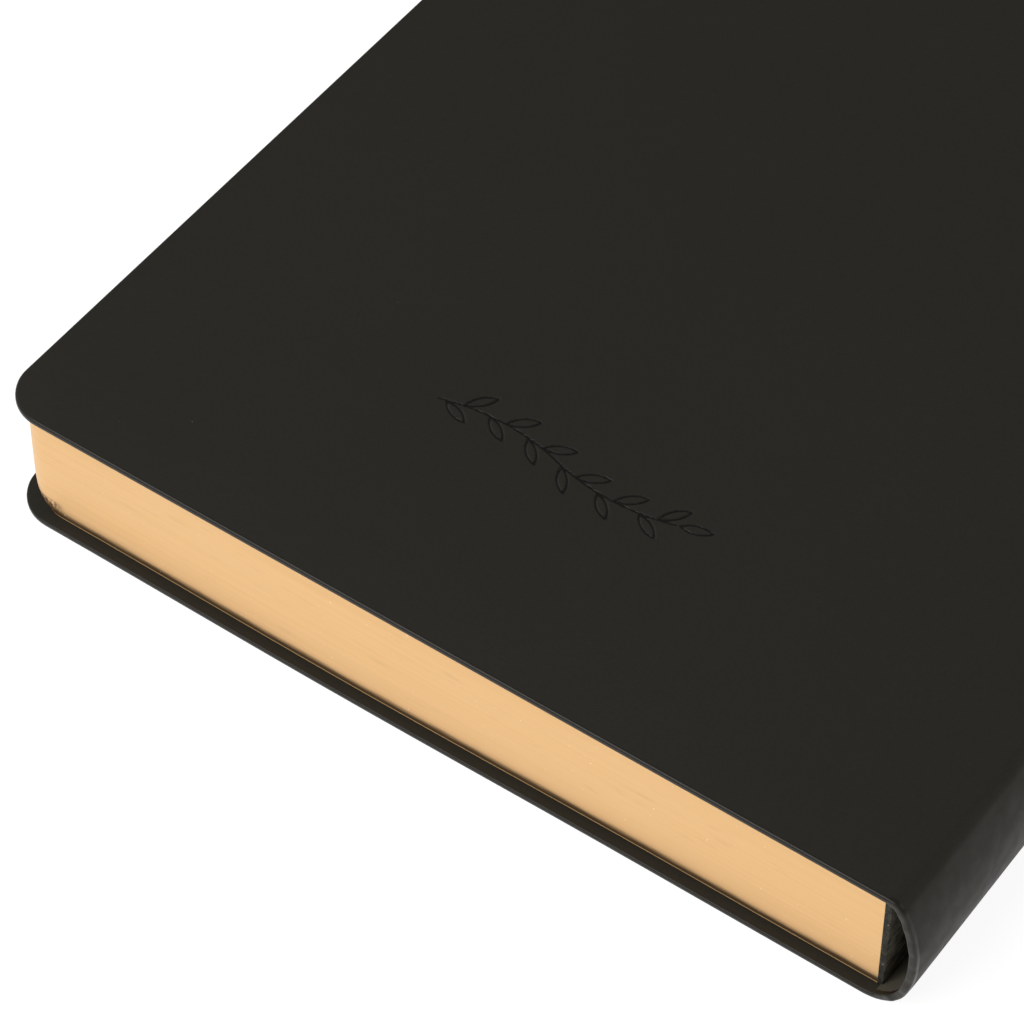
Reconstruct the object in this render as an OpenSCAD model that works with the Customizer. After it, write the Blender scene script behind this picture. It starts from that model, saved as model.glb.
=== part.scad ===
// A thick soft-cover book with gilt page edges and a rounded hollow-back spine.
// It lies on its front cover, with the back cover on top.
// +X runs from the fore-edge to the spine, +Y from the tail to the head, +Z up.
// The origin is on the surface it rests on, under the middle of its box.

/* [Book] */
// Length of the covers, from tail to head
cover_l = 215; // [180:1:240]
// Width of a cover, from its fore-edge to the back of the pages
cover_w = 145; // [120:1:170]
// Thickness of the closed book
book_t = 22.4; // [20:0.1:26]
// Radius of the covers' two fore-edge corners
cover_corner_r = 7.2; // [6:0.1:10]

/* [Cover layers] */
// Thickness of the leatherette skin
leather_t = 0.4; // [0.3:0.05:0.5]
// Thickness of the flexible board in each cover
board_t = 0.4; // [0.3:0.05:0.5]
// Thickness of the skin where it is turned in over the board
turn_in_t = 0.2; // [0.1:0.05:0.3]
// Thickness of the endpapers
endpaper_t = 0.2; // [0.1:0.05:0.3]
// Width of the turned-in skin
turn_in_w = 12; // [8:1:18]
// Distance of the pasted endpaper from the cover's edges
pastedown_inset = 2.8; // [2.5:0.1:4]
// Distance from the back of the pages to the stiff part of each cover
hinge_w = 2; // [1.8:0.1:2.5]

/* [Pages] */
// How far the covers reach past the pages at the fore-edge
overhang_fore = 1.9; // [1.5:0.1:3]
// How far the covers reach past the pages at the head and tail
overhang_end = 2.2; // [1.5:0.1:3]
// Radius of the pages' two fore-edge corners
page_corner_r = 4.6; // [3:0.1:6]
// Gap between the folds of the pages and the glue on their back
fold_gap = 0.3; // [0.3:0.05:0.4]

/* [Spine] */
// How far the crown of the spine stands behind the pages
spine_bulge = 6.2; // [5.6:0.1:7]
// Outer radius of the stiff middle of the spine
spine_r = 20.6; // [18:0.1:26]
// Outer radius of the soft roll from the front cover into the spine
front_roll_r = 6.9; // [6.5:0.1:7.2]
// Outer radius of the tighter roll from the back cover into the spine
back_roll_r = 2.6; // [2:0.1:4]
// Thickness of the glue on the back of the pages
glue_t = 0.3; // [0.25:0.05:0.4]
// Thickness of the mull, the gauze set into the glue
mull_t = 0.2; // [0.1:0.05:0.3]
// Thickness of the crepe paper that lines the back of the pages
crepe_t = 0.3; // [0.2:0.05:0.4]
// Width of a sewing station's thread
thread_w = 0.24; // [0.15:0.01:0.24]

/* [Debossed sprig] */
// Length of the sprig pressed into the back cover
sprig_w = 40; // [30:1:50]
// Distance of the sprig from the cover's tail edge
sprig_from_tail = 36.5; // [30:0.5:60]
// Width of the sprig's pressed lines
line_w = 0.45; // [0.3:0.05:0.6]
// Depth of the sprig's pressed lines
line_depth = 0.2; // [0.1:0.05:0.2]
// Length of one leaf of the sprig
leaf_l = 5.4; // [4:0.1:6]
// Width of one leaf of the sprig
leaf_w = 1.9; // [1.5:0.1:2.4]

/* [Hidden] */
$fn = 96;

leather_colour = "#2b2a27";
board_colour = "#5a5650";
endpaper_colour = "#161616";
gilt_colour = "#e0b578";
lining_colour = "#3a3a38";
glue_colour = "#c9c2ae";
thread_colour = "#e8e4d8";

signature_count = 16;
cover_t = leather_t + board_t + turn_in_t + endpaper_t;
page_back_x = (cover_w - spine_bulge) / 2;       // the back of the pages, in the book's frame
block_t = book_t - 2 * cover_t;
signature_t = (block_t - 2 * endpaper_t) / signature_count;
page_l = cover_l - 2 * overhang_end;
page_w = cover_w - overhang_fore;
spine_cx = spine_bulge - spine_r;                // centre of the spine's large arc
lining_t = glue_t + mull_t + crepe_t;
mull_l = page_l - 16;
station_count = 8;
station_pitch = (page_l - 30) / (station_count - 1);
least_r = 1;                                     // smallest radius of an inner outline's corners
cut = 0.1;                                       // how far a cutting tool runs past a face

// Angles at which each roll meets the stiff middle of the spine with one tangent
front_roll_a = -asin((book_t / 2 - front_roll_r) / (spine_r - front_roll_r));
back_roll_a = asin((book_t / 2 - back_roll_r) / (spine_r - back_roll_r));

// Everything below is drawn with x = 0 at the back of the pages.
module place() translate([page_back_x, 0, 0]) children();

// Turns a front-cover piece into the matching back-cover piece.
module flip_to_back() translate([0, 0, book_t]) mirror([0, 0, 1]) children();

// A rectangle from x_left to x_right, rounded at its two left corners.
module round_left(x_left, x_right, half_l, r) {
    translate([x_left + r, -half_l]) square([x_right - x_left - r, 2 * half_l]);
    translate([x_left, r - half_l]) square([2 * r, 2 * (half_l - r)]);
    for (side = [-1, 1])
        translate([x_left + r, side * (half_l - r)]) circle(r);
}

// The outline of the stiff part of a cover, drawn in from its free edges.
module cover_outline(inset)
    round_left(inset - cover_w, -hinge_w, cover_l / 2 - inset, max(cover_corner_r - inset, least_r));

module page_outline(x_right)
    round_left(-page_w, x_right, page_l / 2, page_corner_r);

// One layer of a cover, between two heights above its outer face.
module cover_layer(z_low, z_high)
    translate([0, 0, z_low]) linear_extrude(z_high - z_low) children();

module cover_leather() {
    turn_z = leather_t + board_t;
    cover_layer(0, leather_t) cover_outline(0);
    cover_layer(0, turn_z + turn_in_t) difference() {
        cover_outline(0);
        cover_outline(leather_t);
    }
    cover_layer(turn_z, turn_z + turn_in_t) difference() {
        cover_outline(0);
        cover_outline(turn_in_w);
    }
}

module cover_board()
    cover_layer(leather_t, leather_t + board_t) cover_outline(leather_t);

module pastedown() {
    cover_layer(leather_t + board_t, cover_t) cover_outline(turn_in_w);
    cover_layer(cover_t - endpaper_t, cover_t) cover_outline(pastedown_inset);
}

// The stem is two arcs that meet in the middle with one slope.
stem_sag = 1.5;
stem_r = (pow(sprig_w / 4, 2) + pow(stem_sag, 2)) / (2 * stem_sag);
function stem_side(x) = x < 0 ? 1 : -1;
function stem_dx(x) = x + stem_side(x) * sprig_w / 4;
function stem_y(x) = stem_side(x) * (sqrt(pow(stem_r, 2) - pow(stem_dx(x), 2)) - stem_r + stem_sag);
function stem_slope(x) = -stem_side(x) * asin(stem_dx(x) / stem_r);

module stem_arc(side) {
    arc_cy = side * (stem_sag - stem_r);
    translate([-side * sprig_w / 4, arc_cy]) intersection() {
        difference() {
            circle(stem_r + line_w / 2);
            circle(stem_r - line_w / 2);
        }
        translate([-sprig_w / 4, side > 0 ? stem_r - 2 * stem_sag : -stem_r - stem_sag])
            square([sprig_w / 2, 3 * stem_sag]);
    }
}

// A pointed leaf: what two circles share, less the same with smaller circles.
module leaf_outline() {
    r = (pow(leaf_l / 2, 2) + pow(leaf_w / 2, 2)) / leaf_w;
    module pointed(radius) intersection_for (side = [-1, 1])
        translate([leaf_l / 2, side * (r - leaf_w / 2)]) circle(radius);
    difference() {
        pointed(r);
        pointed(r - line_w);
    }
}

leaf_angle = 38;
leaf_pairs = 6;
module sprig() {
    stem_arc(1);
    stem_arc(-1);
    for (i = [0 : leaf_pairs - 1], side = [-1, 1]) {
        x = sprig_w * ((i + (side > 0 ? 0.55 : 0.15)) / leaf_pairs - 0.5);
        translate([x, stem_y(x)]) rotate(stem_slope(x) + side * leaf_angle) leaf_outline();
    }
    translate([sprig_w / 2, 0]) rotate(stem_slope(sprig_w / 2)) leaf_outline();
}

// Extrudes a profile drawn across the book, x by z, along its length.
module along_book(l) rotate([90, 0, 0]) linear_extrude(l, center = true) children();

// Part of a ring between two radii and two angles, in the profile.
module ring_part(cx, cz, r_out, r_in, a_low, a_high) {
    far = 3 * r_out;
    translate([cx, cz]) intersection() {
        difference() {
            circle(r_out);
            circle(r_in);
        }
        polygon([[0, 0], [far * cos(a_low), far * sin(a_low)], [far * cos(a_high), far * sin(a_high)]]);
    }
}

// One layer of the stiff middle of the spine, between two depths below its skin.
// A cutter is drawn longer than the stiff middle by the angle past, at each end.
module spine_layer(depth_low, depth_high, past = 0)
    ring_part(spine_cx, book_t / 2, spine_r - depth_low, spine_r - depth_high,
              front_roll_a - past, back_roll_a + past);

module front_cover_leather() place() color(leather_colour) cover_leather();
module front_cover_board() place() color(board_colour) cover_board();
module front_pastedown() place() color(endpaper_colour) pastedown();
module back_cover_board() place() color(board_colour) flip_to_back() cover_board();
module back_pastedown() place() color(endpaper_colour) flip_to_back() pastedown();

module back_cover_leather() place() color(leather_colour) difference() {
    flip_to_back() cover_leather();
    translate([-(cover_w + leaf_l) / 2, sprig_from_tail - cover_l / 2, book_t - line_depth])
        linear_extrude(line_depth + cut) sprig();
}

// The skin is open on its inside, and turned in over the inlay at the head and tail.
module spine_leather() place() color(leather_colour) difference() {
    along_book(cover_l) spine_layer(0, cover_t);
    along_book(cover_l - 2 * leather_t) spine_layer(leather_t, cover_t - turn_in_t, 1);
    along_book(cover_l - 2 * turn_in_w) spine_layer(cover_t - turn_in_t - cut, cover_t + cut, 1);
}

module spine_inlay() place() color(board_colour)
    along_book(cover_l - 2 * leather_t) spine_layer(leather_t, cover_t - turn_in_t);

// The soft strip that turns from the front cover up into the spine.
module front_joint_leather() {
    roll_cx = spine_cx + (spine_r - front_roll_r) * cos(front_roll_a);
    place() color(leather_colour) along_book(cover_l) difference() {
        union() {
            translate([-hinge_w, 0]) square([hinge_w + roll_cx, cover_t]);
            ring_part(roll_cx, front_roll_r, front_roll_r, front_roll_r - cover_t, -90, front_roll_a);
        }
        translate([-hinge_w - cut, cover_t]) square([hinge_w + cut + lining_t, book_t / 2]);
    }
}

// The soft strip that turns from the back cover down into the spine.
module back_joint_leather() {
    roll_cx = spine_cx + (spine_r - back_roll_r) * cos(back_roll_a);
    place() color(leather_colour) along_book(cover_l) {
        translate([-hinge_w, book_t - cover_t]) square([hinge_w + roll_cx, cover_t]);
        ring_part(roll_cx, book_t - back_roll_r, back_roll_r, back_roll_r - cover_t, back_roll_a, 90);
    }
}

// One layer on the back of the pages, between two distances behind them.
module page_lining(x_low, x_high, l)
    translate([x_low, -l / 2, cover_t]) cube([x_high - x_low, l, block_t]);

module thread_columns(w, h)
    for (i = [0 : station_count - 1])
        translate([glue_t - thread_w, (i - (station_count - 1) / 2) * station_pitch - w / 2, (book_t - h) / 2])
            cube([thread_w, w, h]);

module spine_glue() place() color(glue_colour) difference() {
    page_lining(0, glue_t, page_l);
    thread_columns(thread_w, block_t - 2);
}

module sewing_thread() place() color(thread_colour) thread_columns(thread_w, block_t - 2);
module spine_mull() place() color(thread_colour) page_lining(glue_t, glue_t + mull_t, mull_l);

module spine_crepe() place() color(lining_colour) {
    page_lining(glue_t + mull_t, lining_t, page_l);
    for (side = [-1, 1])
        translate([0, side * (page_l + mull_l) / 4, 0])
            page_lining(glue_t, glue_t + mull_t, (page_l - mull_l) / 2);
}

module flyleaf(z_low) place() color(endpaper_colour)
    translate([0, 0, z_low]) linear_extrude(endpaper_t) page_outline(-fold_gap);

module front_flyleaf() flyleaf(cover_t);
module back_flyleaf() flyleaf(book_t - cover_t - endpaper_t);

// A gathering of folded sheets, with its round fold at the back. Number 1 is the lowest.
module signature(number) {
    fold_r = signature_t / 2;
    place() color(gilt_colour)
        translate([0, 0, cover_t + endpaper_t + (number - 1) * signature_t]) {
            linear_extrude(signature_t) page_outline(-fold_gap - fold_r);
            translate([-fold_gap - fold_r, 0, fold_r])
                rotate([90, 0, 0]) cylinder(h = page_l, r = fold_r, center = true);
        }
}

front_cover_leather();
front_cover_board();
front_pastedown();
back_cover_leather();
back_cover_board();
back_pastedown();
spine_leather();
spine_inlay();
front_joint_leather();
back_joint_leather();
spine_glue();
sewing_thread();
spine_mull();
spine_crepe();
front_flyleaf();
signature(1);  // signature_01
signature(2);  // signature_02
signature(3);  // signature_03
signature(4);  // signature_04
signature(5);  // signature_05
signature(6);  // signature_06
signature(7);  // signature_07
signature(8);  // signature_08
signature(9);  // signature_09
signature(10);  // signature_10
signature(11);  // signature_11
signature(12);  // signature_12
signature(13);  // signature_13
signature(14);  // signature_14
signature(15);  // signature_15
signature(16);  // signature_16
back_flyleaf();
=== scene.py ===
"""A thick soft-cover book with gilt page edges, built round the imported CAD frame.

Lengths are in metres. u is the distance from a cover's fore-edge, measured along the cover's
outer face; y runs from the tail (-) to the head (+); depth is measured inwards from that face.
"""
from math import asin, cos, exp, pi, radians, sin, sqrt

import bmesh
import bpy
import numpy as np
from mathutils import Matrix, Vector, noise


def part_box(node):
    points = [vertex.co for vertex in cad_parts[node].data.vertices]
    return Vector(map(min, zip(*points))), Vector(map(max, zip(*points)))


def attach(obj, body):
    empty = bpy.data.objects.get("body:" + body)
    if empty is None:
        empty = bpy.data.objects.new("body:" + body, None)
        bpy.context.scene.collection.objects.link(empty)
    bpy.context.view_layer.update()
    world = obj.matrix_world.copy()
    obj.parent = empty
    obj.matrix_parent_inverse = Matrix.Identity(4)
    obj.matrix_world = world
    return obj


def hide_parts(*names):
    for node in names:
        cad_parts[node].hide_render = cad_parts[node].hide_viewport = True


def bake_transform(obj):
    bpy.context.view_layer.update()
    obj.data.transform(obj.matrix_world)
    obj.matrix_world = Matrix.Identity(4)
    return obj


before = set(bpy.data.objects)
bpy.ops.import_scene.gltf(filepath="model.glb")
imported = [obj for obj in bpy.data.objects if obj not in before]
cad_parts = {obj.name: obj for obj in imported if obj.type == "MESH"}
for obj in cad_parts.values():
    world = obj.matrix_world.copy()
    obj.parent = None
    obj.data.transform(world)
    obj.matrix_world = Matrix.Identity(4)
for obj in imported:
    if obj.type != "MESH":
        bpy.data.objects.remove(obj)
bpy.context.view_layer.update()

mm = 0.001

# ---------------------------------------------------------------- sizes, from the frame
BACK_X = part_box("spine_glue")[0][0]                     # the back of the pages
FORE_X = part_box("front_cover_leather")[0][0]            # the covers' fore-edge
HINGE_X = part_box("front_cover_leather")[1][0]           # where the stiff covers end
BOOK_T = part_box("back_cover_leather")[1][2]
HALF_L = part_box("front_cover_leather")[1][1]
COVER_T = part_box("front_pastedown")[1][2]
SHELL_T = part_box("front_cover_leather")[1][2]
CROWN_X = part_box("spine_leather")[1][0]
PASTE_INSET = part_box("front_pastedown")[0][0] - FORE_X
PAGE_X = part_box("signature_01")[0][0]
PAGE_END_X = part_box("signature_01")[1][0]
PAGE_HALF_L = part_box("signature_01")[1][1]
CREPE_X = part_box("spine_crepe")[1][0]

# Radii of the profile, as in the CAD model
COVER_CORNER_R = 7.2 * mm
PAGE_CORNER_R = 4.6 * mm
SPINE_R = 20.6 * mm
FRONT_ROLL_R = 6.9 * mm
BACK_ROLL_R = 2.6 * mm

BOND_X = BACK_X + 0.9 * mm     # the cover is held to the pages' back edge as far as here
GUTTER_W = 10 * mm             # width of the pages that bend when the book opens
RIM_OUT_R = 0.42 * mm          # rounding of a cover's rim, outside and inside
RIM_IN_R = 0.28 * mm

# How far the soft book's edges at head and tail are out of straight
EDGE_PULL = 0.3 * mm           # the covers' edges are drawn in
EDGE_PULL_FULL = 4 * mm        # full from here outwards, measured back from the edge
EDGE_PULL_NONE = 8 * mm        # and none from here inwards
BOW_MIDDLE = 58 * mm           # where the lower half swells most, from the fore-edge
BOW_REACH = 52 * mm            # how far to each side of that the swelling goes
PAGE_SWELL = 0.4 * mm          # how far the lowest leaves swell out

# How far the spine's skin is out of true at its ends
SPINE_INSET = 0.16 * mm        # along the book
SPINE_DENT = 0.13 * mm         # across the skin
SPINE_FADE = 1.3 * mm          # depth from the ends over which it fades
SPINE_BLEND = 3 * mm           # distance from the bonds over which it sets in


# ---------------------------------------------------------------- the cover's profile
class Profile:
    """The outer face of the wrap-round cover, from the back cover's fore-edge to the front's."""

    def __init__(self):
        mid = BOOK_T / 2
        wall_cx = CROWN_X - SPINE_R
        self.low_a = -asin((mid - FRONT_ROLL_R) / (SPINE_R - FRONT_ROLL_R))
        self.high_a = asin((mid - BACK_ROLL_R) / (SPINE_R - BACK_ROLL_R))
        back_cx = wall_cx + (SPINE_R - BACK_ROLL_R) * cos(self.high_a)
        front_cx = wall_cx + (SPINE_R - FRONT_ROLL_R) * cos(self.low_a)
        arcs = [
            (back_cx, BOOK_T - BACK_ROLL_R, BACK_ROLL_R, pi / 2, self.high_a),
            (wall_cx, mid, SPINE_R, self.high_a, self.low_a),
            (front_cx, FRONT_ROLL_R, FRONT_ROLL_R, self.low_a, -pi / 2),
        ]
        self.flat = back_cx - FORE_X
        self.arcs = []
        s = self.flat
        for cx, cz, r, a0, a1 in arcs:
            self.arcs.append((s, cx, cz, r, a0, a1))
            s += r * (a0 - a1)
        self.turn_end = s
        self.front_cx = front_cx
        self.length = s + front_cx - FORE_X

    def at(self, s):
        """Outer point (x, z) and inward direction (x, z) at the distance s along the profile."""
        if s <= self.flat:
            return (FORE_X + s, BOOK_T), (0.0, -1.0)
        if s >= self.turn_end:
            return (self.front_cx - (s - self.turn_end), 0.0), (0.0, 1.0)
        for s0, cx, cz, r, a0, a1 in self.arcs:
            if s <= s0 + r * (a0 - a1) + 1e-12:
                a = a0 - (s - s0) / r
                return (cx + r * cos(a), cz + r * sin(a)), (-cos(a), -sin(a))
        return (self.front_cx, 0.0), (0.0, 1.0)

    def s_of(self, arc, a):
        """Distance along the profile at the angle a of one of its arcs."""
        s0, _, _, r, a0, _ = self.arcs[arc]
        return s0 + r * (a0 - a)

    def point(self, s, y, depth):
        (x, z), (nx, nz) = self.at(s)
        return (x + nx * depth, y, z + nz * depth)


PROFILE = Profile()
BACK_BOND_S = BOND_X - FORE_X
WALL_END_S = PROFILE.s_of(1, PROFILE.low_a)
FRONT_BOND_S = PROFILE.s_of(2, -pi / 2 + asin((BOND_X - PROFILE.front_cx) / FRONT_ROLL_R))


# ---------------------------------------------------------------- mesh helpers
def spread(a, b, step):
    """Evenly spaced values from a to b, about step apart."""
    n = max(1, int(round(abs(b - a) / step)))
    return [a + (b - a) * i / n for i in range(n + 1)]


def joined(*runs):
    """Several increasing runs of values as one, without doubles."""
    out = []
    for run in runs:
        for v in run:
            if not out or v > out[-1] + 1e-7:
                out.append(v)
    return out


def make_object(name, vertices, faces, face_materials=None, materials=(), smooth_angle=40):
    mesh = bpy.data.meshes.new(name)
    mesh.from_pydata(vertices, [], faces)
    for m in materials:
        mesh.materials.append(m)
    if face_materials is not None:
        mesh.polygons.foreach_set("material_index", face_materials)
    bm = bmesh.new()
    bm.from_mesh(mesh)
    bmesh.ops.recalc_face_normals(bm, faces=bm.faces)
    for f in bm.faces:
        f.smooth = True
    limit = radians(smooth_angle)
    for e in bm.edges:
        e.smooth = len(e.link_faces) == 2 and e.calc_face_angle(pi) < limit
    bm.to_mesh(mesh)
    bm.free()
    obj = bpy.data.objects.new(name, mesh)
    bpy.context.scene.collection.objects.link(obj)
    return obj


def rim_rings(thickness, r_out, r_in, steps=5):
    """(inset, depth) of each ring round a rim, from the outer face to the inner one."""
    rings = []
    for i in range(steps + 1):
        a = (pi / 2) * i / steps
        rings.append((r_out * (1 - sin(a)), r_out * (1 - cos(a))))
    for i in range(steps + 1):
        a = (pi / 2) * i / steps
        rings.append((r_in * (1 - cos(a)), thickness - r_in * (1 - sin(a))))
    return rings


def plate(name, place, half_l, corner_r, u_values, y_values, rings, materials, face_kind=None):
    """A closed plate whose free edges are at u = 0 and y = +-half_l, with its two corners rounded.

    place(u, y, depth) gives a point. u_values run from corner_r inwards to the joint, y_values
    are the rows of the face, as fractions of its half length, and rings are (inset, depth,
    corner_r) round the rim, from the outer face to the inner one. face_kind gives the material
    slots of the outer face, the inner face, the rim and the end at the joint.
    """
    corner_steps = 14
    corner = [(pi / 2) * k / corner_steps for k in range(corner_steps + 1)]
    vertices, faces, kinds = [], [], []

    def column(inset, r, k):
        """u and half length of column k for an outline drawn in by inset."""
        if k <= corner_steps:
            a = corner[k]
            return r - (r - inset) * cos(a), half_l - r + (r - inset) * sin(a)
        return u_values[k - corner_steps], half_l - inset

    n_cols = corner_steps + len(u_values)
    n_rows = len(y_values)

    def outline(inset, depth, r):
        """The free edge as points, from the joint's tail end round to its head end."""
        tail = [column(inset, r, k) for k in range(n_cols - 1, -1, -1)]
        points = [(u, -h) for u, h in tail]
        u0, h0 = column(inset, r, 0)
        points += [(u0, h0 * v) for v in y_values[1:-1]]
        points += [(u, h) for u, h in reversed(tail)]
        return [place(u, y, depth) for u, y in points]

    def face(inset, depth, r):
        """Adds a grid face; returns its outline's indices in the outline's order."""
        base = len(vertices)
        for k in range(n_cols):
            u, h = column(inset, r, k)
            for v in y_values:
                vertices.append(place(u, h * v, depth))
        index = lambda k, j: base + k * n_rows + j
        for k in range(n_cols - 1):
            for j in range(n_rows - 1):
                faces.append((index(k, j), index(k + 1, j), index(k + 1, j + 1), index(k, j + 1)))
                kinds.append(0 if depth == rings[0][1] else 1)
        edge = [index(k, 0) for k in range(n_cols - 1, -1, -1)]
        edge += [index(0, j) for j in range(1, n_rows - 1)]
        edge += [index(k, n_rows - 1) for k in range(n_cols)]
        end = [index(n_cols - 1, j) for j in range(n_rows)]
        return edge, end

    first_edge, first_end = face(*rings[0])
    previous = first_edge
    tail_side, head_side = [], []
    for inset, depth, r in rings[1:-1]:
        base = len(vertices)
        vertices.extend(outline(inset, depth, r))
        ring = list(range(base, len(vertices)))
        for a in range(len(ring) - 1):
            faces.append((previous[a], previous[a + 1], ring[a + 1], ring[a]))
            kinds.append(2)
        tail_side.append(ring[0])
        head_side.append(ring[-1])
        previous = ring
    last_edge, last_end = face(*rings[-1])
    for a in range(len(last_edge) - 1):
        faces.append((previous[a], previous[a + 1], last_edge[a + 1], last_edge[a]))
        kinds.append(2)
    faces.append(tuple(first_end + head_side + last_end[::-1] + tail_side[::-1]))
    kinds.append(3)
    slots = [face_kind[k] for k in kinds] if face_kind else None
    return make_object(name, vertices, faces, slots, materials)


def bow(u):
    """The lower half of the book swells a little at head and tail: 0 to 1, u from the fore-edge."""
    off = (u - BOW_MIDDLE) / BOW_REACH
    return cos(pi / 2 * off) ** 2 if abs(off) < 1 else 0.0


def drawn_in(place, amount):
    """place, with the head and tail edges drawn in by amount(u)."""
    def shifted(u, y, depth):
        inwards = abs(y) - (HALF_L - EDGE_PULL_NONE)
        near = min(1.0, max(0.0, inwards / (EDGE_PULL_NONE - EDGE_PULL_FULL)))
        pull = amount(u) * near
        return place(u, y - pull if y > 0 else y + pull, depth)
    return shifted


def end_wobble(s):
    """How far the spine's skin is out of true at its head and tail: inset and depth, at s."""
    amount = max(0.0, min(1.0, (s - BACK_BOND_S) / SPINE_BLEND, (FRONT_BOND_S - s) / SPINE_BLEND))
    along = noise.noise(Vector((s * 380, 0.0, 4.2))) + 0.5 * noise.noise(Vector((s * 900, 0.0, 9.1)))
    across = noise.noise(Vector((s * 300, 0.0, 17.4))) + 0.4 * noise.noise(Vector((s * 800, 0.0, 2.6)))
    pull = EDGE_PULL * (1 - amount) + amount * SPINE_INSET * (1 + along)
    return pull, amount * SPINE_DENT * (1 + across)


def strip(name, s_values, half_l, thickness, materials):
    """A closed strip of the cover between two joints: skin outside, lining inside, capped ends.

    materials are the outer face's, the rim's and the inner face's, and the third value of a ring
    is its number among them.
    """
    rim = rim_rings(thickness, RIM_OUT_R, RIM_IN_R)
    rows = [4.5 * mm, 2.8 * mm, 1.6 * mm, 0.9 * mm]
    rings = ([(inset, 0.0, 0) for inset in rows] + [(inset, depth, 1) for inset, depth in rim]
             + [(inset, thickness, 2) for inset in reversed(rows)])
    section = [(1, ring) for ring in rings] + [(-1, ring) for ring in reversed(rings)]
    vertices = []
    for s in s_values:
        pull, dent = end_wobble(s)
        for side, (inset, depth, _) in section:
            fade = exp(-inset / SPINE_FADE) if inset < rows[0] else 0.0
            vertices.append(PROFILE.point(s, side * (half_l - inset - pull * fade), depth + dent * fade))
    n = len(section)
    faces, kinds = [], []
    for i in range(len(s_values) - 1):
        for j in range(n):
            k = (j + 1) % n
            faces.append((i * n + j, i * n + k, (i + 1) * n + k, (i + 1) * n + j))
            this, following = section[j][1][2], section[k][1][2]
            kinds.append(this if this == following else 1)
    faces.append(tuple(range(n)))
    faces.append(tuple(range((len(s_values) - 1) * n, len(s_values) * n)))
    return make_object(name, vertices, faces, kinds + [0, 0], materials)


# ---------------------------------------------------------------- the debossed sprig
SPRIG_W = 40 * mm
SPRIG_FROM_TAIL = 36.5 * mm
STEM_SAG = 1.5 * mm
LINE_W = 0.45 * mm
LINE_DEPTH = 0.2 * mm
LEAF_L = 5.4 * mm
LEAF_W = 1.9 * mm
LEAF_PAIRS = 6
LEAF_ANGLE = radians(38)


def sprig_depth(x, y):
    """How deep the sprig is pressed at points x, y from its middle, as arrays."""
    stem_r = ((SPRIG_W / 4) ** 2 + STEM_SAG ** 2) / (2 * STEM_SAG)
    leaf_r = ((LEAF_L / 2) ** 2 + (LEAF_W / 2) ** 2) / LEAF_W

    def stem(px):
        side = 1 if px < 0 else -1
        dx = px + side * SPRIG_W / 4
        return side * (sqrt(stem_r ** 2 - dx ** 2) - stem_r + STEM_SAG), -side * asin(dx / stem_r)

    side = np.where(x < 0, 1.0, -1.0)
    from_centre = np.hypot(x + side * SPRIG_W / 4, y - side * (STEM_SAG - stem_r))
    off = np.abs(from_centre - stem_r)
    off = np.where(np.abs(x) > SPRIG_W / 2, 1.0, off)
    leaves = [(SPRIG_W / 2, 0)]
    leaves += [(SPRIG_W * ((i + (0.55 if turn > 0 else 0.15)) / LEAF_PAIRS - 0.5), turn)
               for i in range(LEAF_PAIRS) for turn in (-1, 1)]
    for px, turn in leaves:
        py, slope = stem(px)
        a = slope + turn * LEAF_ANGLE
        lx = (x - px) * cos(a) + (y - py) * sin(a) - LEAF_L / 2
        ly = -(x - px) * sin(a) + (y - py) * cos(a)
        inside = np.maximum(np.hypot(lx, ly - (leaf_r - LEAF_W / 2)),
                            np.hypot(lx, ly + (leaf_r - LEAF_W / 2))) - leaf_r
        off = np.minimum(off, np.abs(inside + LINE_W / 2))
    q = np.clip(off / (LINE_W / 2), 0, 1)
    return LINE_DEPTH * (1 - q * q) ** 1.5


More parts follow.
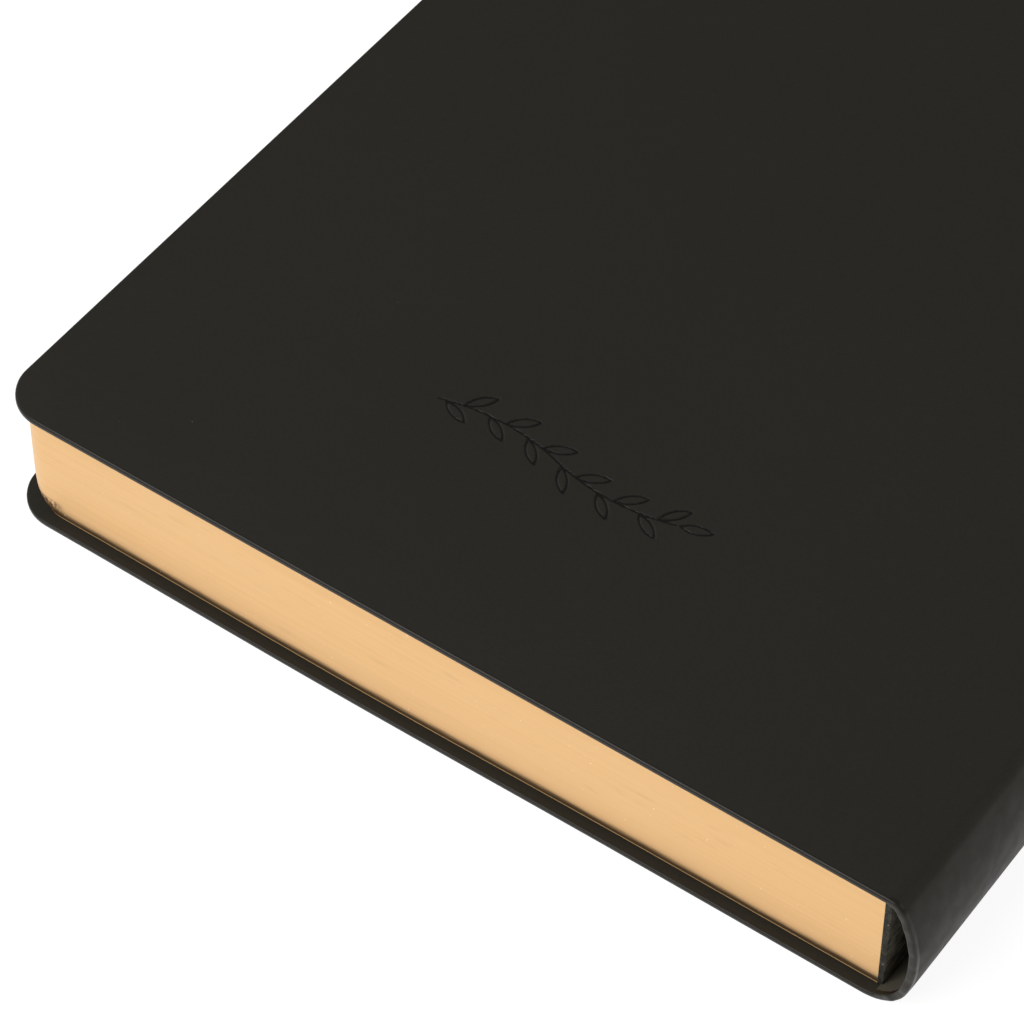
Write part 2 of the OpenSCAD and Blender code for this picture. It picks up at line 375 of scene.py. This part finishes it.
# ---------------------------------------------------------------- materials
class Paint:
    """Builds one procedural material; texture coordinates are the frame's own metres."""

    def __init__(self, name):
        self.material = bpy.data.materials.new(name)
        self.material.use_nodes = True
        self.tree = self.material.node_tree
        self.shader = self.tree.nodes["Principled BSDF"]
        self.where = self.tree.nodes.new("ShaderNodeTexCoord").outputs["Object"]

    def node(self, kind, inputs=None, **settings):
        n = self.tree.nodes.new(kind)
        for key, value in settings.items():
            setattr(n, key, value)
        for key, value in (inputs or {}).items():
            self.feed(n.inputs[key], value)
        return n

    def feed(self, socket, value):
        if isinstance(value, bpy.types.NodeSocket):
            self.tree.links.new(value, socket)
        else:
            socket.default_value = value

    def axes(self):
        return self.node("ShaderNodeSeparateXYZ", {"Vector": self.where}).outputs[:]

    def joined(self, x, y, z):
        return self.node("ShaderNodeCombineXYZ", {"X": x, "Y": y, "Z": z}).outputs[0]

    def stretched(self, x, y, z):
        return self.node("ShaderNodeMapping", {"Vector": self.where, "Scale": (x, y, z)}).outputs[0]

    def noise(self, scale, detail=3.0, rough=0.5, vector=None):
        inputs = {"Vector": vector or self.where, "Scale": scale, "Detail": detail, "Roughness": rough}
        return self.node("ShaderNodeTexNoise", inputs).outputs["Fac"]

    def cells(self, scale, feature="F1", vector=None):
        return self.node("ShaderNodeTexVoronoi", {"Vector": vector or self.where, "Scale": scale},
                         feature=feature)

    def ramp(self, value, low, high, out_low=0.0, out_high=1.0):
        inputs = {"Value": value, "From Min": low, "From Max": high, "To Min": out_low, "To Max": out_high}
        return self.node("ShaderNodeMapRange", inputs, interpolation_type="SMOOTHSTEP").outputs[0]

    def math(self, operation, a, b):
        return self.node("ShaderNodeMath", {0: a, 1: b}, operation=operation).outputs[0]

    def mix(self, factor, a, b):
        n = self.node("ShaderNodeMix", data_type="RGBA")
        self.feed(n.inputs["Factor"], factor)
        self.feed(n.inputs[6], a)
        self.feed(n.inputs[7], b)
        return n.outputs[2]

    def specks(self, scale, size, share, vector=None):
        """A mask of small round specks: a share of the cells carries one, size of a cell across."""
        cells = self.cells(scale, vector=vector)
        near = self.ramp(cells.outputs["Distance"], size, size * 0.6)
        chosen = self.node("ShaderNodeSeparateColor", {"Color": cells.outputs["Color"]}).outputs[0]
        return self.math("MULTIPLY", near, self.math("GREATER_THAN", chosen, 1.0 - share))

    def bump(self, height, strength, distance, after=None):
        inputs = {"Height": height, "Strength": strength, "Distance": distance}
        if after is not None:
            inputs["Normal"] = after
        return self.node("ShaderNodeBump", inputs).outputs[0]

    def set(self, **inputs):
        for key, value in inputs.items():
            self.feed(self.shader.inputs[key.replace("_", " ")], value)


PAPER_FLUFF = (0.32, 0.28, 0.22, 1)
LEATHER_LINT = (0.20, 0.20, 0.18, 1)
CREPE_LINT = (0.20, 0.20, 0.16, 1)


def leatherette():
    """Charcoal soft-touch leatherette: matte, with a fine pebbled grain and a little lint."""
    p = Paint("charcoal_leatherette")
    patches = p.noise(28.0, 3.0, 0.55)
    colour = p.mix(patches, (0.0206, 0.0193, 0.0142, 1), (0.0246, 0.0232, 0.0174, 1))
    grain = p.cells(2600.0, "SMOOTH_F1").outputs["Distance"]
    colour = p.mix(p.ramp(grain, 0.15, 0.6, 0.0, 0.35), colour, (0.0162, 0.0151, 0.0112, 1))
    x, y, z = p.axes()
    lint = p.specks(110.0, 0.011, 0.16, p.joined(p.math("ADD", x, z), y, 0.0))
    colour = p.mix(p.math("MULTIPLY", lint, 0.6), colour, LEATHER_LINT)
    p.set(Base_Color=colour, Roughness=p.ramp(p.noise(420.0), 0.3, 0.7, 0.56, 0.66))
    p.set(Specular_IOR_Level=0.20, Sheen_Weight=0.04, Sheen_Roughness=0.45)
    coarse = p.bump(p.noise(900.0, 2.0), 0.10, 0.05 * mm)
    p.set(Normal=p.bump(grain, 0.22, 0.04 * mm, coarse))
    return p.material


def pressed(name, colour_a, colour_b, rough, shine, relief):
    """Leatherette where it is pressed or folded: smoother, and shinier than the face, in the colours
    given; for the sprig's lines, the dark colours are painted shade.
    """
    p = Paint(name)
    p.set(Base_Color=p.mix(p.noise(300.0, 3.0, 0.6), colour_a, colour_b))
    p.set(Roughness=rough, Specular_IOR_Level=shine)
    p.set(Normal=p.bump(p.noise(1.0, 3.0, 0.6, p.stretched(1100.0, 1100.0, 1100.0)), relief, 0.05 * mm))
    return p.material


GOLD_DARK, GOLD_PALE = (0.790, 0.480, 0.207, 1), (0.832, 0.513, 0.228, 1)
GOLD_CLOUD = (0.818, 0.522, 0.2425, 1)
# Painted light: the gilt of the lowest leaves is lightened near the foot to offset the shade of the ledge
# below it.
GOLD_FOOT_PAINTED_LIGHT = (0.910, 0.562, 0.266, 1)
GOLD_FLECK = (1.0, 0.88, 0.66, 1)
RUBBED_GOLD = (0.50, 0.30, 0.15, 1)
# Painted shade along the foot of the gilt, ragged like wear.
FOOT_SHADE_AND_WEAR = (0.060, 0.034, 0.016, 1)
WORN_CORNER = (0.085, 0.038, 0.014, 1)


def gilt(name, at_foot):
    """Gilt page edge: soft satin gold with faint streaks along the leaves and bright flecks.

    at_foot lightens the lowest leaves' gilt with painted light, lays a dark band of painted shade, ragged
    like wear, along the foot, and adds wear, most of all at the corners.
    """
    p = Paint(name)
    x, y, z = p.axes()
    streak = p.noise(1.0, 4.0, 0.6, p.stretched(14.0, 14.0, 2600.0))
    broad = p.noise(1.0, 3.0, 0.5, p.stretched(26.0, 26.0, 120.0))
    colour = p.mix(p.ramp(streak, 0.3, 0.7), GOLD_DARK, GOLD_PALE)
    colour = p.mix(p.ramp(broad, 0.35, 0.7, 0.0, 0.5), colour, GOLD_CLOUD)
    rubbed = p.ramp(p.noise(1.0, 4.0, 0.6, p.stretched(120.0, 120.0, 900.0)), 0.60, 0.74)
    colour = p.mix(p.math("MULTIPLY", rubbed, 0.20), colour, RUBBED_GOLD)
    if at_foot:
        # Painted light: lighter gilt over the lowest few millimetres, against the ledge's shade.
        low = p.ramp(z, COVER_T + 4.2 * mm, COVER_T + 1.6 * mm)
        colour = p.mix(low, colour, GOLD_FOOT_PAINTED_LIGHT)
        # A dark band of painted shade along the foot, where the ledge shades the gilt, with a ragged edge
        # like wear.
        ragged = p.noise(1.0, 5.0, 0.65, p.stretched(150.0, 150.0, 1500.0))
        height = p.math("ADD", z, p.math("MULTIPLY", p.math("SUBTRACT", ragged, 0.5), 0.9 * mm))
        foot_shade_and_wear = p.ramp(height, COVER_T + 1.85 * mm, COVER_T + 0.60 * mm)
        colour = p.mix(p.math("MULTIPLY", foot_shade_and_wear, 0.93), colour, FOOT_SHADE_AND_WEAR)
        corner = p.math("MULTIPLY", p.ramp(x, PAGE_X + 8 * mm, PAGE_X + 5 * mm),
                        p.ramp(y, 6 * mm - PAGE_HALF_L, 3 * mm - PAGE_HALF_L))
        corner = p.math("MULTIPLY", corner, p.ramp(height, COVER_T + 3.2 * mm, COVER_T + 2.4 * mm))
        mottled = p.ramp(p.noise(1500.0, 3.0, 0.6), 0.34, 0.52)
        patch = p.math("MULTIPLY", corner, p.math("MULTIPLY", mottled, 0.9))
        colour = p.mix(patch, colour, WORN_CORNER)
    flat = p.joined(p.math("ADD", x, y), 0.0, z)
    fleck = p.math("MAXIMUM", p.math("MULTIPLY", p.specks(700.0, 0.085, 0.10, flat), 0.9),
                   p.math("MULTIPLY", p.specks(1600.0, 0.16, 0.08, flat), 0.45))
    colour = p.mix(fleck, colour, GOLD_FLECK)
    p.set(Base_Color=colour, Metallic=0.45, Specular_IOR_Level=0.35)
    p.set(Roughness=p.ramp(p.noise(1.0, 3.0, 0.5, p.stretched(60.0, 60.0, 3200.0)), 0.3, 0.7, 0.36, 0.46))
    leaves = p.bump(streak, 0.07, 0.05 * mm)
    p.set(Normal=p.bump(p.noise(1500.0, 2.0), 0.05, 0.03 * mm, leaves))
    return p.material


def paper(name, colour_a, colour_b, rough, fluff_share):
    """Uncoated paper: cloudy colour, fibres as a fine relief, and a share of pale fluff."""
    p = Paint(name)
    fibres = p.noise(1.0, 4.0, 0.7, p.stretched(2400.0, 900.0, 2400.0))
    x, y, _ = p.axes()
    fluff = p.specks(420.0, 0.05, fluff_share, p.joined(x, y, 0.0))
    colour = p.mix(p.noise(160.0, 4.0, 0.6), colour_a, colour_b)
    colour = p.mix(p.math("MULTIPLY", fluff, 0.6), colour, PAPER_FLUFF)
    p.set(Base_Color=colour, Roughness=rough)
    p.set(Specular_IOR_Level=0.25, Normal=p.bump(fibres, 0.25, 0.03 * mm))
    return p.material


def crepe(name, dark, pale):
    """Dark crepe paper: short ridges, with pale specks of lint and glue."""
    p = Paint(name)
    ridges = p.noise(1.0, 4.0, 0.6, p.stretched(1500.0, 420.0, 1500.0))
    colour = p.mix(p.ramp(ridges, 0.35, 0.7), dark, pale)
    specks = p.specks(1500.0, 0.26, 0.22)
    colour = p.mix(p.math("MULTIPLY", specks, 0.75), colour, CREPE_LINT)
    p.set(Base_Color=colour, Roughness=0.8, Specular_IOR_Level=0.3)
    p.set(Normal=p.bump(ridges, 0.8, 0.15 * mm))
    return p.material


def board():
    """Grey board: pressed fibres with dark and pale flecks."""
    p = Paint("grey_board")
    fibres = p.noise(1.0, 5.0, 0.7, p.stretched(1800.0, 700.0, 1800.0))
    colour = p.mix(fibres, (0.075, 0.068, 0.058, 1), (0.15, 0.14, 0.12, 1))
    p.set(Base_Color=colour, Roughness=0.9, Normal=p.bump(fibres, 0.4, 0.05 * mm))
    return p.material


def gauze():
    """Open cotton gauze, its two thread directions crossing."""
    p = Paint("mull_gauze")
    wave = {"Vector": p.where, "Scale": 260.0, "Distortion": 0.6, "Detail": 1.0}
    along = p.node("ShaderNodeTexWave", wave, bands_direction="Y").outputs["Fac"]
    up = p.node("ShaderNodeTexWave", wave, bands_direction="Z").outputs["Fac"]
    weave = p.math("MAXIMUM", along, up)
    p.set(Base_Color=p.mix(weave, (0.30, 0.28, 0.22, 1), (0.66, 0.63, 0.54, 1)), Roughness=0.9)
    p.set(Normal=p.bump(weave, 0.8, 0.1 * mm))
    return p.material


def glue():
    """Dried bookbinder's glue: cloudy cream, with a low uneven gloss."""
    p = Paint("spine_glue")
    clouds = p.noise(220.0, 4.0, 0.6)
    p.set(Base_Color=p.mix(clouds, (0.50, 0.44, 0.31, 1), (0.66, 0.60, 0.46, 1)))
    p.set(Roughness=p.ramp(clouds, 0.3, 0.7, 0.35, 0.6), Normal=p.bump(clouds, 0.5, 0.1 * mm))
    return p.material


def linen_thread():
    """Waxed linen thread with a fine twist."""
    p = Paint("linen_thread")
    wave = {"Vector": p.where, "Scale": 900.0, "Distortion": 1.5}
    twist = p.node("ShaderNodeTexWave", wave, bands_direction="DIAGONAL").outputs["Fac"]
    p.set(Base_Color=p.mix(twist, (0.55, 0.52, 0.43, 1), (0.78, 0.76, 0.68, 1)), Roughness=0.6)
    p.set(Normal=p.bump(twist, 0.6, 0.05 * mm))
    return p.material


LEATHER = leatherette()
RIM_LEATHER = pressed("folded_leatherette", (0.012, 0.0105, 0.0075, 1), (0.021, 0.018, 0.013, 1),
                      0.34, 0.24, 0.5)
# Painted shade: the sprig's pressed lines are far darker than the face, besides being smoother and
# shinier.
SPRIG_LEATHER_PAINTED_SHADE = pressed("debossed_leatherette_painted_shade", (0.0035, 0.0030, 0.0020, 1), (0.0045, 0.0040, 0.0028, 1),
                        0.30, 0.32, 0.0)
GILT = gilt("gilt_edge", False)
# The lowest gatherings' gilt carries painted light and painted shade at the foot, besides wear.
FOOT_GILT_LIGHT_SHADE_AND_WEAR = gilt("foot_gilt_edge_painted_light_shade_and_wear", True)
PAGE = paper("cream_page", (0.76, 0.71, 0.60, 1), (0.82, 0.775, 0.67, 1), 0.88, 0.0)
# The black paper's warm brown tint is a painted reflection of the gilt edge.
BLACK_PAPER_GILT_REFLECTION = paper("black_endpaper_painted_gilt_reflection", (0.014, 0.0100, 0.0070, 1), (0.021, 0.0150, 0.0105, 1), 0.80, 0.10)
HOLLOW_PAPER = paper("hollow_lining", (0.054, 0.047, 0.033, 1), (0.088, 0.078, 0.057, 1), 0.9, 0.05)
# Painted light and shade: the crepe's face is lightened to stand in for light in the hollow, and its edges
# are a darker copy, painted shade.
CREPE = crepe("crepe_paper", (0.060, 0.054, 0.038, 1), (0.26, 0.24, 0.185, 1))
CREPE_SHADED_EDGE = crepe("crepe_paper_edge_painted_shade", (0.010, 0.009, 0.006, 1), (0.045, 0.040, 0.030, 1))


# ---------------------------------------------------------------- the cover
def flat_rims(thickness, r_out, r_in, corner_r):
    return [(inset, depth, corner_r) for inset, depth in rim_rings(thickness, r_out, r_in)]


CORNER_END = COVER_CORNER_R + 0.5 * mm
STIFF_U = HINGE_X - FORE_X
BEND_STEP = 0.12 * mm
FLAT_STEP = 8 * mm

sprig_u = (BACK_X - FORE_X - LEAF_L) / 2
sprig_y = SPRIG_FROM_TAIL - HALF_L
SPRIG_BOX = (SPRIG_W / 2 + LEAF_L + 0.6 * mm, 6.2 * mm)     # half sizes of the finely divided patch
SPRIG_STEP = 0.15 * mm
PRESSED_SHADE_FROM = 0.35            # share of the line's depth from which its faces count as pressed and take the darker colour, painted shade


def back_cover_skin():
    half_x, half_y = SPRIG_BOX
    u_values = joined(spread(CORNER_END, sprig_u - half_x, FLAT_STEP),
                      spread(sprig_u - half_x, sprig_u + half_x, SPRIG_STEP),
                      spread(sprig_u + half_x, STIFF_U, FLAT_STEP),
                      spread(STIFF_U, BACK_BOND_S, BEND_STEP))
    face_half = HALF_L - RIM_OUT_R
    rows = joined([-face_half, -0.9 * face_half], spread(sprig_y - half_y, sprig_y + half_y, SPRIG_STEP),
                  [0.0, 0.9 * face_half, face_half])
    place = drawn_in(PROFILE.point, lambda u: EDGE_PULL)
    obj = plate("back_cover_skin", place, HALF_L, COVER_CORNER_R, u_values,
                [y / face_half for y in rows],
                flat_rims(SHELL_T, RIM_OUT_R, RIM_IN_R, COVER_CORNER_R),
                [LEATHER, RIM_LEATHER, SPRIG_LEATHER_PAINTED_SHADE], [0, 0, 1, 0])
    co = np.empty(len(obj.data.vertices) * 3)
    obj.data.vertices.foreach_get("co", co)
    co = co.reshape(-1, 3)
    x, y = co[:, 0] - FORE_X - sprig_u, co[:, 1] - sprig_y
    on_face = (co[:, 2] > BOOK_T - 0.01 * mm) & (np.abs(x) < half_x) & (np.abs(y) < half_y)
    co[on_face, 2] -= sprig_depth(x[on_face], y[on_face])
    obj.data.vertices.foreach_set("co", co.ravel())
    # Faces deep in the lines take the dark sprig material: painted shade in the grooves.
    low = co[:, 2] < BOOK_T - PRESSED_SHADE_FROM * LINE_DEPTH
    for face in obj.data.polygons:
        if face.material_index == 0 and all(on_face[v] for v in face.vertices):
            if sum(low[v] for v in face.vertices) >= 2:
                face.material_index = 2
    obj.data.update()
    return obj


def front_cover_skin():
    end = PROFILE.length - FRONT_BOND_S
    u_values = joined(spread(CORNER_END, STIFF_U, FLAT_STEP), spread(STIFF_U, end, BEND_STEP))
    place = drawn_in(lambda u, y, depth: PROFILE.point(PROFILE.length - u, y, depth),
                     lambda u: EDGE_PULL * (1 - bow(u)))
    return plate("front_cover_skin", place, HALF_L, COVER_CORNER_R, u_values,
                 [-1.0, -0.9, 0.0, 0.9, 1.0],
                 flat_rims(SHELL_T, RIM_OUT_R, RIM_IN_R, COVER_CORNER_R),
                 [LEATHER, RIM_LEATHER], [0, 0, 1, 0])


def pasted_endpaper(name, s_of_u, end):
    """The black paper inside a cover, over the board and the turned-in skin."""
    thick = COVER_T - SHELL_T
    corner_r = COVER_CORNER_R - PASTE_INSET
    u_values = joined(spread(CORNER_END - PASTE_INSET, STIFF_U - PASTE_INSET, FLAT_STEP),
                      spread(STIFF_U - PASTE_INSET, end - PASTE_INSET, BEND_STEP))
    place = lambda u, y, depth: PROFILE.point(s_of_u(u + PASTE_INSET), y, SHELL_T + depth)
    rings = [(0.0, 0.0, corner_r), (0.0, thick * 0.6, corner_r), (0.1 * mm, thick, corner_r)]
    return plate(name, place, HALF_L - PASTE_INSET, corner_r, u_values, [-1.0, 0.0, 1.0],
                 rings, [BLACK_PAPER_GILT_REFLECTION])


back_skin = back_cover_skin()
front_skin = front_cover_skin()
back_paper = pasted_endpaper("back_pastedown_sheet", lambda u: u, BACK_BOND_S)
front_paper = pasted_endpaper("front_pastedown_sheet", lambda u: PROFILE.length - u,
                              PROFILE.length - FRONT_BOND_S)

STRIP_SKIN = [LEATHER, RIM_LEATHER, HOLLOW_PAPER]
spine_skin = strip("spine_skin", joined(spread(BACK_BOND_S, PROFILE.flat, BEND_STEP),
                                        spread(PROFILE.flat, PROFILE.s_of(0, PROFILE.high_a), BEND_STEP),
                                        spread(PROFILE.s_of(0, PROFILE.high_a), WALL_END_S, 0.4 * mm)),
                   HALF_L, COVER_T, STRIP_SKIN)
roll_skin = strip("front_roll_skin", spread(WALL_END_S, FRONT_BOND_S, 0.2 * mm),
                  HALF_L, COVER_T, STRIP_SKIN)


def profile_point(s):
    return PROFILE.point(s, 0.0, 0.0)


back_end, back_bond = profile_point(STIFF_U), profile_point(BACK_BOND_S)
wall_top, wall_end = profile_point(PROFILE.s_of(0, PROFILE.high_a)), profile_point(WALL_END_S)
front_bond = profile_point(FRONT_BOND_S)
# The front cover starts to turn on the line straight through the sheet at its bond.
_, (across_x, across_z) = PROFILE.at(FRONT_BOND_S)
front_reach = (front_bond[0] - HINGE_X) * across_z - front_bond[2] * across_x
front_end = (front_bond[0] - front_reach * across_z, 0.0, front_bond[2] + front_reach * across_x)

for piece, a, b, start, end, nodes, slot in (
    (back_skin, "back_cover", "upper_block", back_end, back_bond, ["back_cover_leather"], "cover_leather"),
    (back_paper, "back_cover", "upper_block", back_end, back_bond, ["back_pastedown"], "endpaper"),
    (spine_skin, "upper_block", "spine", back_bond, wall_top,
     ["spine_leather", "back_joint_leather"], "cover_leather"),
    (roll_skin, "spine", "lower_block", wall_end, front_bond, ["front_joint_leather"], "cover_leather"),
    (front_skin, "lower_block", "front_cover", front_bond, front_end,
     ["front_cover_leather"], "cover_leather"),
    (front_paper, "lower_block", "front_cover", front_bond, front_end, ["front_pastedown"], "endpaper"),
):
    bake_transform(piece)
    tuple(start)
    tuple(end)
    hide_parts(*nodes)


# ---------------------------------------------------------------- the pages
KNOCK_IN = 2.4 * mm            # how much larger the corner radius is at the very foot
KNOCK_IN_HEIGHT = 1.6 * mm     # height over which that falls to about a third
PAGE_CORNER_END = 7.6 * mm     # past the largest corner radius
GUTTER_STEP = 0.5 * mm
BACK_LEAN = 0.26 * mm          # how much further back the lowest leaf reaches than the top one
FOOT_GILT_GATHERINGS = 4            # gatherings near enough to the foot to take its painted light and shade and its wear


def page_corner_r(z):
    """The lowest leaves' corners are knocked in, so their radius grows towards the foot."""
    return PAGE_CORNER_R + KNOCK_IN * exp(-(z - COVER_T) / KNOCK_IN_HEIGHT)


PAGE_W = PAGE_END_X - PAGE_X
PAGE_U = joined(spread(PAGE_CORNER_END, PAGE_W - GUTTER_W, FLAT_STEP),
                spread(PAGE_W - GUTTER_W, PAGE_W, GUTTER_STEP))


def lowness(z):
    """1 at the foot of the pages and 0 at their top."""
    return (BOOK_T - COVER_T - z) / (BOOK_T - 2 * COVER_T)


def back_shift(z):
    """The back of the pages leans: the lowest leaves reach a little further towards the spine."""
    return BACK_LEAN * lowness(z)


def leaf_stack(name, z_low, z_high, materials, kinds, levels):
    """A gathering, or one leaf, from z_low to z_high."""
    def place(u, y, depth):
        z = z_high - depth
        lean = back_shift(z) * max(0.0, 1 - (PAGE_W - u) / GUTTER_W)
        swell = PAGE_SWELL * bow(u) * lowness(z)
        if abs(y) < PAGE_HALF_L / 2:
            swell = 0.0
        return (PAGE_X + u + lean, y - swell if y < 0 else y + swell, z)

    depths = [(z_high - z_low) * k / levels for k in range(levels + 1)]
    rings = [(0.0, d, page_corner_r(z_high - d)) for d in depths]
    return plate(name, place, PAGE_HALF_L, PAGE_CORNER_R, PAGE_U, [-1.0, 0.0, 1.0],
                 rings, materials, kinds)


def gather(numbers):
    for number in numbers:
        node = f"signature_{number:02d}"
        (_, _, z_low), (_, _, z_high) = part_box(node)
        edge = FOOT_GILT_LIGHT_SHADE_AND_WEAR if number <= FOOT_GILT_GATHERINGS else GILT
        piece = leaf_stack(f"gathering_{number:02d}", z_low, z_high, [PAGE, edge], [0, 0, 1, 0], 4)
        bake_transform(piece)
        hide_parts(node)


gather(range(1, 9))
gather(range(9, 17))
for node, block in (("front_flyleaf", "lower_block"), ("back_flyleaf", "upper_block")):
    (_, _, z_low), (_, _, z_high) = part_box(node)
    piece = leaf_stack(node + "_sheet", z_low, z_high, [BLACK_PAPER_GILT_REFLECTION, GILT], [0, 0, 1, 0], 2)
    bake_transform(piece)
    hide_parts(node)


# ---------------------------------------------------------------- the back of the pages
WRINKLE, FINE_WRINKLE = 0.10 * mm, 0.06 * mm


def crepe_lining():
    """Crepe paper over the pages' back, wrapped round the glue and mull at head and tail."""
    (_, low_y, low_z), (_, high_y, high_z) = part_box("spine_crepe")
    lip, over = 0.15 * mm, 0.015 * mm       # how far it passes the glue's ends and long edges
    inner_x = BACK_X - BACK_LEAN            # just behind the folds, and leans with them
    ys = spread(low_y - lip, high_y + lip, 0.7 * mm)
    zs = spread(low_z - over, high_z + over, 0.35 * mm)
    vertices, faces = [], []
    n = len(zs)
    for x in (CREPE_X, inner_x):
        for y in ys:
            for z in zs:
                wave = 0.0
                if x == CREPE_X:
                    at = Vector((y * 1500, z * 2600, 0.3))
                    wave = WRINKLE * noise.noise(at) + FINE_WRINKLE * noise.noise(at * 2.7)
                lean = back_shift(z) if x == inner_x else 0.0
                vertices.append((x + wave + lean, y, z))
    index = lambda side, i, j: side * len(ys) * n + i * n + j
    for side in (0, 1):
        for i in range(len(ys) - 1):
            for j in range(n - 1):
                faces.append((index(side, i, j), index(side, i + 1, j),
                              index(side, i + 1, j + 1), index(side, i, j + 1)))
    last = len(ys) - 1
    kinds = [0] * len(faces)
    for i in range(last):
        for j in (0, n - 1):
            faces.append((index(0, i, j), index(0, i + 1, j), index(1, i + 1, j), index(1, i, j)))
    for j in range(n - 1):
        for i in (0, last):
            faces.append((index(0, i, j), index(0, i, j + 1), index(1, i, j + 1), index(1, i, j)))
    # The head, tail and long edges take the darker crepe: painted shade.
    kinds += [1] * (len(faces) - len(kinds))
    return make_object("crepe_lining", vertices, faces, kinds, [CREPE, CREPE_SHADED_EDGE], 60)


lining = crepe_lining()
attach(lining, "spine")
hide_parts("spine_crepe")

for node, material in (("front_cover_board", board()), ("back_cover_board", board()),
                       ("spine_inlay", board()), ("spine_glue", glue()),
                       ("spine_mull", gauze()), ("sewing_thread", linen_thread())):
    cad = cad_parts[node]
    for held in cad.material_slots:
        held.material = material


# ---------------------------------------------------------------- floor, lights and camera
FLOOR_GAP = 0.02 * mm          # keeps the floor clear of the cover that lies on it
FLOOR_GREY, FLOOR_GLOW = (0.24, 0.24, 0.24, 1), 0.90
WORLD_STRENGTH = 0.22


def stage_floor():
    mesh = bpy.data.meshes.new("floor")
    half = 3.0
    corners = [(-half, -half, 0), (half, -half, 0), (half, half, 0), (-half, half, 0)]
    mesh.from_pydata(corners, [], [(0, 1, 2, 3)])
    floor = bpy.data.objects.new("floor", mesh)
    bpy.context.scene.collection.objects.link(floor)
    floor.location.z = -FLOOR_GAP
    p = Paint("pale_floor")
    p.set(Base_Color=FLOOR_GREY, Roughness=0.9, Specular_IOR_Level=0.0)
    p.set(Emission_Color=(1, 1, 1, 1), Emission_Strength=FLOOR_GLOW)
    mesh.materials.append(p.material)


def softbox(name, azimuth, elevation, distance, size, watts, colour=(1, 1, 1)):
    """An area light that looks at the book; azimuth 0 stands at -Y and 90 at +X."""
    data = bpy.data.lights.new(name, "AREA")
    data.shape = "RECTANGLE"
    data.size, data.size_y = size
    data.energy = watts
    data.color = colour
    lamp = bpy.data.objects.new(name, data)
    az, el = radians(azimuth), radians(elevation)
    lamp.location = Vector((sin(az) * cos(el), -cos(az) * cos(el), sin(el))) * distance
    lamp.rotation_euler = lamp.location.to_track_quat("Z", "Y").to_euler()
    bpy.context.scene.collection.objects.link(lamp)


stage_floor()
softbox("front_softbox", -22, 42, 1.3, (0.9, 0.7), 10.4)
softbox("right_softbox", 120, 38, 1.2, (0.7, 0.5), 1.6, (1.0, 0.88, 0.72))
softbox("left_softbox", -95, 40, 1.3, (0.7, 0.6), 1.2)

scene = bpy.context.scene
world = bpy.data.worlds.new("studio")
world.use_nodes = True
background = world.node_tree.nodes["Background"]
background.inputs["Color"].default_value = (1, 1, 1, 1)
background.inputs["Strength"].default_value = WORLD_STRENGTH
scene.world = world
scene.view_settings.view_transform = "Standard"

CAMERA_AT = Vector((212.28, -396.90, 465.57)) * mm
CAMERA_AZIMUTH, CAMERA_ELEVATION, CAMERA_ROLL = 34.67, 49.19, 0.824
CAMERA_LENS, CAMERA_SENSOR = 151.97, 36      # millimetres


def add_camera():
    data = bpy.data.cameras.new("camera")
    data.lens = CAMERA_LENS
    data.sensor_width = CAMERA_SENSOR
    data.clip_start = 0.01
    camera = bpy.data.objects.new("camera", data)
    turn = (Matrix.Rotation(radians(CAMERA_AZIMUTH), 4, "Z")
            @ Matrix.Rotation(radians(90 - CAMERA_ELEVATION), 4, "X")
            @ Matrix.Rotation(radians(CAMERA_ROLL), 4, "Z"))
    camera.matrix_world = Matrix.Translation(CAMERA_AT) @ turn
    scene.collection.objects.link(camera)
    scene.camera = camera


add_camera()

bpy.context.view_layer.update()
